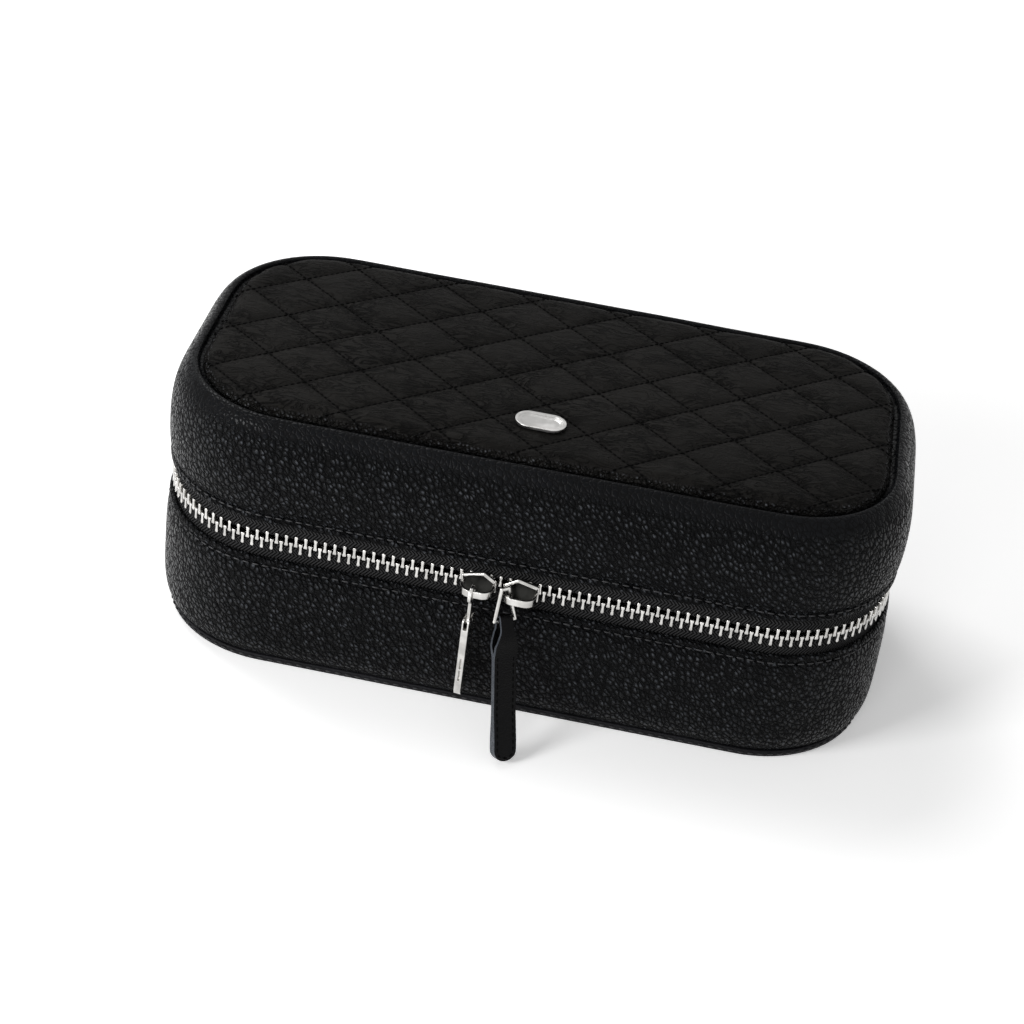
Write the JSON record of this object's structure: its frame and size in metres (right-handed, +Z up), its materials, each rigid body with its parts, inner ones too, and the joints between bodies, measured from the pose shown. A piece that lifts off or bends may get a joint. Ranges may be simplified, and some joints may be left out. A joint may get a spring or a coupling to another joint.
{
  "type": "leather jewellery case",
  "caption": "Rounded zip-around jewellery case with a quilted lid, lined tray with ring rolls, mirror, leather spine hinge and metal and leather zip pulls.",
  "frame": {"origin": "middle of the underside, on the surface that the case stands on", "axes": "+X along the width to the right seen from the front, +Y to the back where the spine hinge is, +Z up"},
  "size_m": [0.208, 0.1275, 0.0816],
  "materials": {
    "pebbled_leather": "pebbled black leather, semi-gloss",
    "quilt_leather": "soft creased black leather, satin",
    "smooth_leather": "smooth black leather with painted edges",
    "board": "pressed fibre board",
    "foam": "open-cell foam",
    "suede_lining": "charcoal microsuede",
    "zip_tape": "woven herringbone tape",
    "polished_metal": "polished silver-coloured plating",
    "mirror": "silvered glass"
  },
  "bodies": {
    "base": {"base_wall": "pebbled_leather", "base_bottom_panel": "smooth_leather", "base_wall_board": "board", "base_bottom_board": "board", "base_lining": "suede_lining", "divider_left": "suede_lining", "divider_right": "suede_lining", "divider_short": "suede_lining", "ring_rolls": "suede_lining", "zip_tape_lower": "zip_tape", "zip_teeth_lower": "polished_metal", "zip_stops_lower": "polished_metal", "spine_lower": "pebbled_leather"},
    "lid": {"lid_wall": "pebbled_leather", "quilted_cover": "quilt_leather", "quilt_foam": "foam", "lid_top_board": "board", "lid_wall_board": "board", "lid_lining": "suede_lining", "mirror_glass": "mirror", "mirror_border": "smooth_leather", "badge": "polished_metal", "zip_tape_upper": "zip_tape", "zip_teeth_upper": "polished_metal", "zip_stops_upper": "polished_metal", "spine_upper": "pebbled_leather"},
    "slider_left": {"slider_left_plate": "polished_metal", "slider_left_back_plate": "polished_metal", "bail_left": "polished_metal"},
    "slider_right": {"slider_right_plate": "polished_metal", "slider_right_back_plate": "polished_metal", "bail_right": "polished_metal"},
    "link_left": {"link_left": "polished_metal"},
    "bar_left": {"pull_bar": "polished_metal", "pull_pin": "polished_metal"},
    "ring_right": {"ring_right": "polished_metal"},
    "tab_right": {"pull_tab": "smooth_leather"}
  },
  "joints": [
    {"name": "lid_hinge", "type": "hinge", "parent": "base", "child": "lid", "pos_m": [0, 0.0495, 0.0425], "axis": [-1, 0, 0], "range_deg": [0, 110]},
    {"name": "slider_left_travel", "type": "slide", "parent": "base", "child": "slider_left", "axis": [1, 0, 0], "range_m": [-0.052, 0]},
    {"name": "slider_right_travel", "type": "slide", "parent": "base", "child": "slider_right", "axis": [1, 0, 0], "range_m": [0, 0.057]},
    {"name": "link_left_swing", "type": "hinge", "parent": "slider_left", "child": "link_left", "pos_m": [-0.0093, -0.0572, 0.0425], "axis": [-0.9903, 0.1392, 0], "range_deg": [0, 150]},
    {"name": "bar_left_swing", "type": "hinge", "parent": "link_left", "child": "bar_left", "pos_m": [-0.0093, -0.0572, 0.034], "axis": [-0.9903, 0.1392, 0], "range_deg": [0, 30]},
    {"name": "ring_right_swing", "type": "hinge", "parent": "slider_right", "child": "ring_right", "pos_m": [-0.00039, -0.05601, 0.0425], "axis": [-0.8192, -0.5736, 0], "range_deg": [0, 30]},
    {"name": "tab_right_swing", "type": "hinge", "parent": "ring_right", "child": "tab_right", "pos_m": [0.00039, -0.05713, 0.03604], "axis": [-0.8192, -0.5736, 0], "range_deg": [0, 100]}
  ]
}
